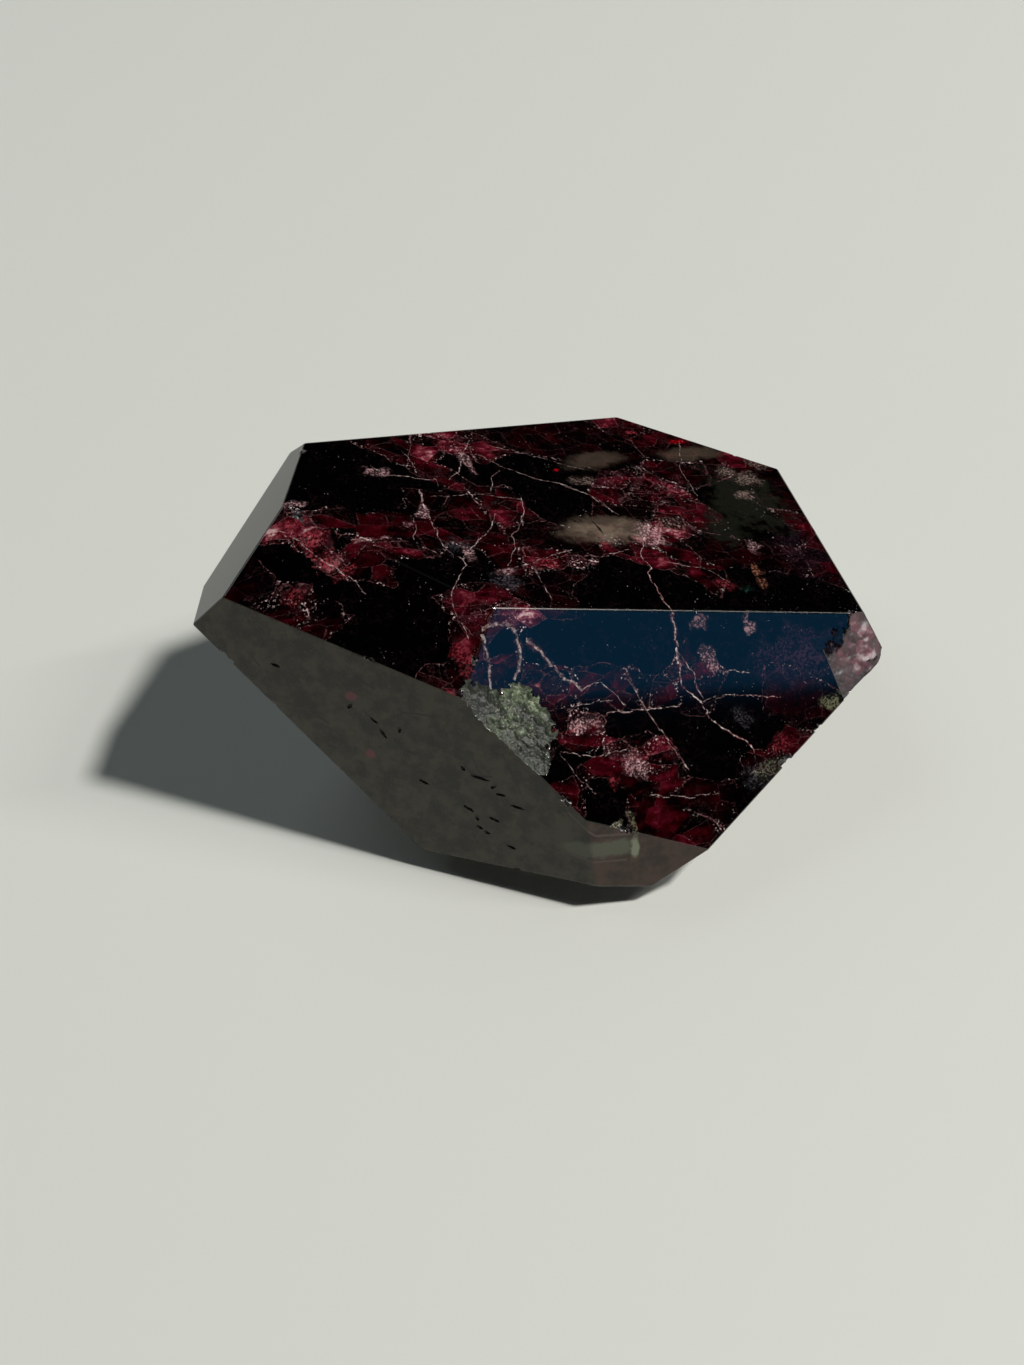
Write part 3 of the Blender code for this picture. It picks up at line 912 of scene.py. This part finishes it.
def vein_pattern(place):
    """1 on a healed crack and 0 away from it, and the same for the crushed band along it."""
    across, up, _ = place.vector("SUBTRACT", HEART).split()
    line = halo = 0.0
    for half_width, strength, points in VEINS:
        run_x, run_y = points[-1][0] - points[0][0], points[-1][1] - points[0][1]
        if abs(run_x) > abs(run_y):
            along, other, run, slant = across, up, sorted(points), abs(run_x)
        else:
            along, other, run, slant = up, across, sorted((y, x) for x, y in points), abs(run_y)
        off = along.off_line(other, run)
        wide = half_width * math.hypot(run_x, run_y) / slant
        line = (off.fade(wide * VEIN_OUTER, wide * VEIN_INNER) * strength).most(line)
        halo = (off.fade(wide * HALO, wide) * strength).most(halo)
    return line, halo


class Patterns:
    """The patterns that the finishes of the stone share, each worked out once from the place."""

    def __init__(self, place):
        self.place = place
        self.bend_place()
        self.find_blocks_and_veins()
        self.lively = self.level.fade(0.05, 0.45)
        self.crushed = self.level.fade(0.42, 0.57).most(self.halo * 0.7)
        self.fine = self.streaked.noise(STREAK_SIZE, detail=6, rough=0.64)
        self.grit = place.noise(GRIT_SIZE, detail=2, rough=0.7)
        self.glow = place.noise(GLOW_SIZE, detail=2)
        self.shard, self.other_shard, _ = self.slabs.cells(SHARD_SIZE, out="Color").split()
        self.patchy = place.noise(PATCH_SIZE, detail=2).fade(0.42, 0.58)
        self.cloud = self.along_grain.noise(CLOUD_SIZE, detail=4, rough=0.62)

    def bend_place(self):
        """Bends the place for the blocks, the veins, the spots and streaks of the grain, and the slabs."""
        place = self.place
        swirl = place.noise(SWIRL_SIZE, detail=1, out=1).shift(SWIRL_REACH)
        crinkle = place.noise(CRINKLE_SIZE, detail=4, out=1).shift(CRINKLE_REACH)
        self.bent = place.plus(swirl).plus(crinkle)
        steps = place.cells(STEP_SIZE, out="Color").shift(STEP_REACH)
        self.wavy = place.plus(crinkle.scaled(VEIN_CRINKLE)).plus(steps)
        self.along_grain = self.bent.turned(GRAIN_TURN)
        self.streaked = self.along_grain.vector("MULTIPLY", STREAK_SQUEEZE)
        steady = place.plus(swirl.scaled(SLAB_SWIRL)).plus(crinkle.scaled(SLAB_CRINKLE))
        self.slabs = steady.turned(SLAB_TURN).vector("MULTIPLY", SLAB_SQUEEZE)

    def find_blocks_and_veins(self):
        """How light each block is and where it ends, with plain cells on the sides that have no list."""
        level, border, from_middle = block_pattern(self.bent)
        hidden = self.bent.cells(HIDDEN_BLOCK_SIZE, out="Color").split()[0]
        unlisted = from_middle.fade(5.0, 8.0)
        level = level.blend(hidden * hidden * LIGHTEST_HIDDEN, unlisted)
        hidden_edge = self.bent.cells(HIDDEN_BLOCK_SIZE, feature="DISTANCE_TO_EDGE")
        self.border = border.blend(hidden_edge * HIDDEN_BLOCK_SIZE, unlisted)
        self.line, self.halo = vein_pattern(self.wavy)
        self.level = level.most(self.halo * PINK)


def garnet_colour(look):
    """The clear garnet itself, lighter or darker by block, shard, splinter and streak."""
    splinter = look.streaked.cells(SPLINTER_SIZE, out="Color").split()[0]
    core = look.border.fade(0.0, 1.3) * 0.2 - 0.16
    play = (look.fine - 0.5) * 1.15 + (look.glow - 0.5) * 0.7 + (look.shard - 0.5) * 0.42 + core
    sparkle = ((splinter - 0.5) * 0.2 + (look.grit - 0.5) * 0.45) * look.crushed
    value = look.level + play * look.lively + sparkle + (look.fine - 0.5) * 0.12
    return value.ramp(GARNET_TONES)


def add_wisps(colour, look):
    """Adds the milky veil and the thin wisps of the crushed places."""
    veil = look.place.noise(VEIL_SIZE, detail=4, rough=0.7).fade(0.48, 0.66) * look.crushed
    colour = colour.tint(VEIL_COLOUR, veil * VEIL_STRENGTH)
    strength = look.crushed * 0.5 + look.lively * 0.1 + 0.05
    wisps = abs(look.cloud - 0.5).fade(0.012, 0.003) * strength
    return colour.tint(WISP_COLOUR, wisps * look.patchy)


def add_spots(colour, look):
    """Adds every soft spot of the upper side, the painted reflection among them, and its dark streaks."""
    ragged = (look.fine - 0.5) * 1.6 + (look.cloud - 0.5) * 2.4
    faint = ragged * 0.4
    crumbling = (look.grit * 0.65 + look.fine * 0.35).fade(0.48, 0.56) * 0.92 + 0.08
    painted_reflection = 0.0
    for kind, (spot_colour, spots) in SPOTS.items():
        outline = faint if kind in EVEN_OUTLINES else ragged
        strength = 0.0
        for middle, half_sizes, weight in spots:
            centre = Matrix.Rotation(-GRAIN_TURN, 3, "Z") @ on_top(*middle)
            from_centre = look.along_grain.oval(centre, (*half_sizes, SPOT_DEPTH))
            strength = ((from_centre + outline).fade(1.2, 0.45) * weight).most(strength)
        # Keeps the painted reflection's strength for its dark streaks.
        if kind == "painted_reflection":
            painted_reflection = strength
        if kind not in SMOOTH_SPOTS:
            strength = (strength * crumbling).least(1.0)
        colour = colour.tint(spot_colour, strength)
    return colour.tint(REFLECTION_STREAK_COLOUR, look.fine.fade(0.6, 0.4) * REFLECTION_STREAK_STRENGTH * painted_reflection)


def add_cracks(colour, look):
    """Adds the thin cracks between blocks and between shards, broken up by the grit."""
    shard_edge = look.slabs.cells(SHARD_SIZE, feature="DISTANCE_TO_EDGE")
    shard_strength = (look.crushed * 0.6 + look.lively * 0.3) * look.other_shard.fade(0.3, 0.45)
    shard_lines = shard_edge.fade(0.026, 0.01) * shard_strength
    cracks = look.border.fade(0.1, 0.04) * (look.lively * 0.6 + 0.25) * look.patchy
    return colour.tint(CRACK_COLOUR, cracks.most(shard_lines) * look.grit.fade(0.4, 0.56))


def add_veins(colour, look):
    grain = look.place.noise(VEIN_GRAIN_SIZE, detail=4, rough=0.7)
    return colour.tint(grain.ramp(VEIN_TONES), look.line * grain.fade(0.34, 0.5))


def add_crumbs_and_glints(colour, look):
    """Adds pale bits of garnet and painted glints: clumped along borders and crushed places, and lone ones.
    """
    beside = look.border.fade(0.7, 0.1) * look.lively + look.crushed * 0.5
    clump = look.place.noise(CLUMP_SIZE, detail=3).fade(0.48, 0.64) * beside
    flakes_and_glints = look.grit.fade(0.58, 0.66) * clump
    colour = colour.tint(FLAKE_AND_GLINT_COLOUR, flakes_and_glints.least(1.0) * CRUMB_AND_GLINT_STRENGTH)
    specks_and_glints = look.grit.fade(0.7, 0.75) * look.glow.fade(0.46, 0.6)
    return colour.tint(SPECK_AND_GLINT_COLOUR, specks_and_glints * CRUMB_AND_GLINT_STRENGTH)


def add_satin(colour, place):
    """Gives the satin facets their even olive grey and their few marks. Says where they are, too."""
    mottle = place.noise(MOTTLE_SIZE, detail=4, rough=0.65).fade(0.35, 0.65)
    satin = 0.0
    for name, (light, dark) in SATIN_FACETS.items():
        on_facet = below_facet(place, name).below(FACET_SKIN)
        satin = on_facet.most(satin)
        colour = colour.tint(mottle.between(dark, light), on_facet)
    across, _, height = place.vector("SUBTRACT", HEART).split()
    for line_colour, half_width, points in FRONT_LINES:
        off = across.off_line(height, [(x, z - HEART.z) for x, z in points])
        colour = colour.tint(line_colour, off.fade(half_width * 2, half_width * 0.4) * satin)
    ragged = (mottle - 0.5) * 0.5
    for spot_colour, facet, middle, (half_length, half_height), weight in FRONT_SPOTS:
        from_centre = place.oval(on_front(*middle, facet), (half_length, half_length, half_height))
        spot = (from_centre + ragged).fade(1.15, 0.6)
        colour = colour.tint(spot_colour, spot * satin * weight)
    return colour, satin


def add_breaks(colour, look, depth):
    """Gives the chips and breaks their crystal colours, lightest on the tip's broken face."""
    inward = look.place.distance(TIP_BRIGHT).fade(2.5, 6.5) * TIP_DIMMING
    chunk = look.wavy.cells(CHUNK_SIZE, out="Color").split()[0]
    grain = look.place.noise(BROKEN_GRAIN_SIZE, detail=4, rough=0.7)
    value = grain + (chunk - 0.5) * 0.5 - inward
    return colour.tint(value.ramp(BROKEN_TONES), depth.fade(0.04, 0.12))


def add_mineral(colour, look, depth, in_pocket):
    """Fills the pocket with pale green mineral, with painted shade in its grooves and a painted pool of
    light with cream highlights.
    """
    grain = look.place.noise(MINERAL_GRAIN_SIZE, detail=4, rough=0.6) * 0.9
    grain = grain + look.place.noise(MINERAL_CLOUD_SIZE, detail=2) * 1.5
    # A painted pool of light on the mineral, strongest at its pale place.
    pale = look.place.distance(on_top(*POCKET_PAINTED_LIGHT)).fade(5.5, 0.5) * PAINTED_LIGHT_GAIN
    # Painted shade: the deeper the mineral lies, the darker it is.
    value = grain + pale - depth * POCKET_PAINTED_SHADE - POCKET_DIMMING
    # The grit within the pool of light gets painted cream highlights.
    mineral = value.ramp(MINERAL_TONES).tint(CREAM_HIGHLIGHT, look.grit.fade(0.58, 0.66) * pale * 1.2)
    return colour.tint(mineral, depth.fade(0.03, 0.08) * in_pocket)


def surface_roughness(depth, in_pocket):
    """Polished on the facets, worn on their softened edges, rough in breaks, crumbly in the pocket."""
    worn = depth.fade(0.002, 0.008) * (WORN - POLISH)
    rough = depth.fade(0.03, 0.1) * (in_pocket * (CRUMBLY - BROKEN) + (BROKEN - WORN))
    return worn + rough + POLISH


def garnet_material():
    material = bpy.data.materials.new("polished_garnet")
    material.use_nodes = True
    nodes, links = material.node_tree.nodes, material.node_tree.links
    coordinates = nodes.new("ShaderNodeTexCoord")
    place = Wire(coordinates.outputs["Object"]).scaled(1 / MM)

    look = Patterns(place)
    colour = garnet_colour(look)
    colour = add_wisps(colour, look)
    colour = add_spots(colour, look)
    colour = add_cracks(colour, look)
    colour = add_veins(colour, look)
    colour = add_crumbs_and_glints(colour, look)
    colour, satin = add_satin(colour, place)
    depth = below_surface(place)
    colour = add_breaks(colour, look, depth)
    in_pocket = place.distance(on_top(*POCKET_MIDDLE)).fade(8.2, 7.6)
    colour = add_mineral(colour, look, depth, in_pocket)

    polished = nodes["Principled BSDF"]
    links.new(colour.socket, polished.inputs["Base Color"])
    links.new(surface_roughness(depth, in_pocket).socket, polished.inputs["Roughness"])
    polished.inputs["IOR"].default_value = GARNET_IOR
    ground = nodes.new("ShaderNodeBsdfPrincipled")
    links.new(colour.socket, ground.inputs["Base Color"])
    ground.inputs["Roughness"].default_value = SATIN
    ground.inputs["IOR"].default_value = SATIN_IOR
    shaders = {0: satin, 1: Wire(polished.outputs[0]), 2: Wire(ground.outputs[0])}
    both = colour.node("MixShader", shaders)
    links.new(both.socket, nodes["Material Output"].inputs["Surface"])
    return material


FLOOR_RADIUS = 2.0
FLOOR_SIDES = 96
FLOOR_COLOUR = (0.66, 0.67, 0.63, 1)
FLOOR_ROUGHNESS = 0.6
RIM_HEIGHT = 0.55
RIM_SPREAD = 1.15
RIM_BEND = 0.3
RIM_STEPS = 8


def floor():
    """A round pale floor that turns up into a low rim far behind the stone, all round."""
    bpy.ops.object.select_all(action="DESELECT")
    bpy.ops.mesh.primitive_circle_add(vertices=FLOOR_SIDES, radius=FLOOR_RADIUS, fill_type="NGON")
    made = bpy.context.object
    made.name = "floor"
    start_edit(made)
    bpy.ops.mesh.select_mode(type="EDGE")
    bpy.ops.mesh.extrude_edges_move(TRANSFORM_OT_translate={"value": (0, 0, RIM_HEIGHT)})
    bpy.ops.transform.resize(value=(RIM_SPREAD, RIM_SPREAD, 1))
    bpy.ops.mesh.select_mode(type="VERT")
    bpy.ops.mesh.select_all(action="SELECT")
    bpy.ops.mesh.normals_make_consistent(inside=False)
    end_edit()
    turn_up = made.modifiers.new("turn_up", "BEVEL")
    turn_up.width = RIM_BEND
    turn_up.segments = RIM_STEPS
    turn_up.limit_method = "ANGLE"
    apply_modifier(made, turn_up)
    bpy.ops.object.shade_smooth()
    material = bpy.data.materials.new("pale_floor")
    material.use_nodes = True
    shader = material.node_tree.nodes["Principled BSDF"]
    shader.inputs["Base Color"].default_value = FLOOR_COLOUR
    shader.inputs["Roughness"].default_value = FLOOR_ROUGHNESS
    made.data.materials.append(material)


# Each light: its direction from the stone, how far it is (m), its width and height (m), its power
# (W), its colour and its turn. The window gives the right front facet its blue sheen, and the strip
# gives the edge above it its glint.
WARM = (1.0, 0.985, 0.95)
COOL = (0.85, 0.97, 1.0)
WINDOW_BLUE = (0.06, 0.45, 1.0)
WINDOW_TURN = math.radians(-42)
STRIP_TURN = math.radians(15.6)
ROOM_COLOUR = (0.8, 0.9, 1.0, 1)
ROOM_STRENGTH = 0.003


def sky_direction(bearing, rise):
    """The unit vector toward a bearing, 0 is away from the camera and 90 is right, and a rise (degrees)."""
    return direction(90 - bearing, rise)


def area_light(name, toward, far, size, power, colour, turn=0.0):
    """A soft light that shines at the stone from a direction, as wide and as high as size says."""
    lamp = bpy.data.lights.new(name, "AREA")
    lamp.shape = "ELLIPSE" if size[0] == size[1] else "RECTANGLE"
    lamp.size, lamp.size_y = size
    lamp.energy = power
    lamp.color = colour
    made = bpy.data.objects.new(name, lamp)
    bpy.context.collection.objects.link(made)
    facing = toward.to_track_quat("Z", "Y").to_matrix().to_4x4()
    place = Matrix.Translation(HEART * MM + toward * far)
    made.matrix_world = place @ facing @ Matrix.Rotation(turn, 4, "Z")


def set_lights():
    area_light("key", direction(-4.9, 58.8), 2.4, (0.26, 0.26), 51.0, WARM)
    area_light("edge_strip", sky_direction(88.5, 46.0), 2.4, (0.04, 0.64), 9.0, WARM, STRIP_TURN)
    area_light("window", sky_direction(114.0, 34.5), 3.0, (0.93, 0.315), 0.32, WINDOW_BLUE, WINDOW_TURN)
    area_light("left_fill", sky_direction(-50.0, 45.0), 1.6, (1.2, 0.9), 3.4, COOL)
    world = bpy.data.worlds.new("dim_room")
    bpy.context.scene.world = world
    world.use_nodes = True
    background = world.node_tree.nodes["Background"]
    background.inputs["Color"].default_value = ROOM_COLOUR
    background.inputs["Strength"].default_value = ROOM_STRENGTH


CAMERA_PLACE = Vector((-4.754, -139.9, 147.86))
CAMERA_DIP = math.radians(45.505)
CAMERA_LENS = 41.0
SENSOR_HEIGHT = 36.0
CAMERA_NEAREST = 0.01


def set_camera():
    camera = bpy.data.cameras.new("camera")
    camera.sensor_fit = "VERTICAL"
    camera.sensor_height = SENSOR_HEIGHT
    camera.lens = CAMERA_LENS
    camera.clip_start = CAMERA_NEAREST
    made = bpy.data.objects.new("camera", camera)
    bpy.context.collection.objects.link(made)
    made.location = CAMERA_PLACE * MM
    made.rotation_euler = (math.pi / 2 - CAMERA_DIP, 0, 0)
    bpy.context.scene.camera = made


stone = make_stone()
stone.data.materials.clear()
stone.data.materials.append(garnet_material())
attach(stone, "root")
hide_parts("garnet_crystal")
floor()
set_lights()
set_camera()
bpy.context.scene.view_settings.view_transform = "Standard"
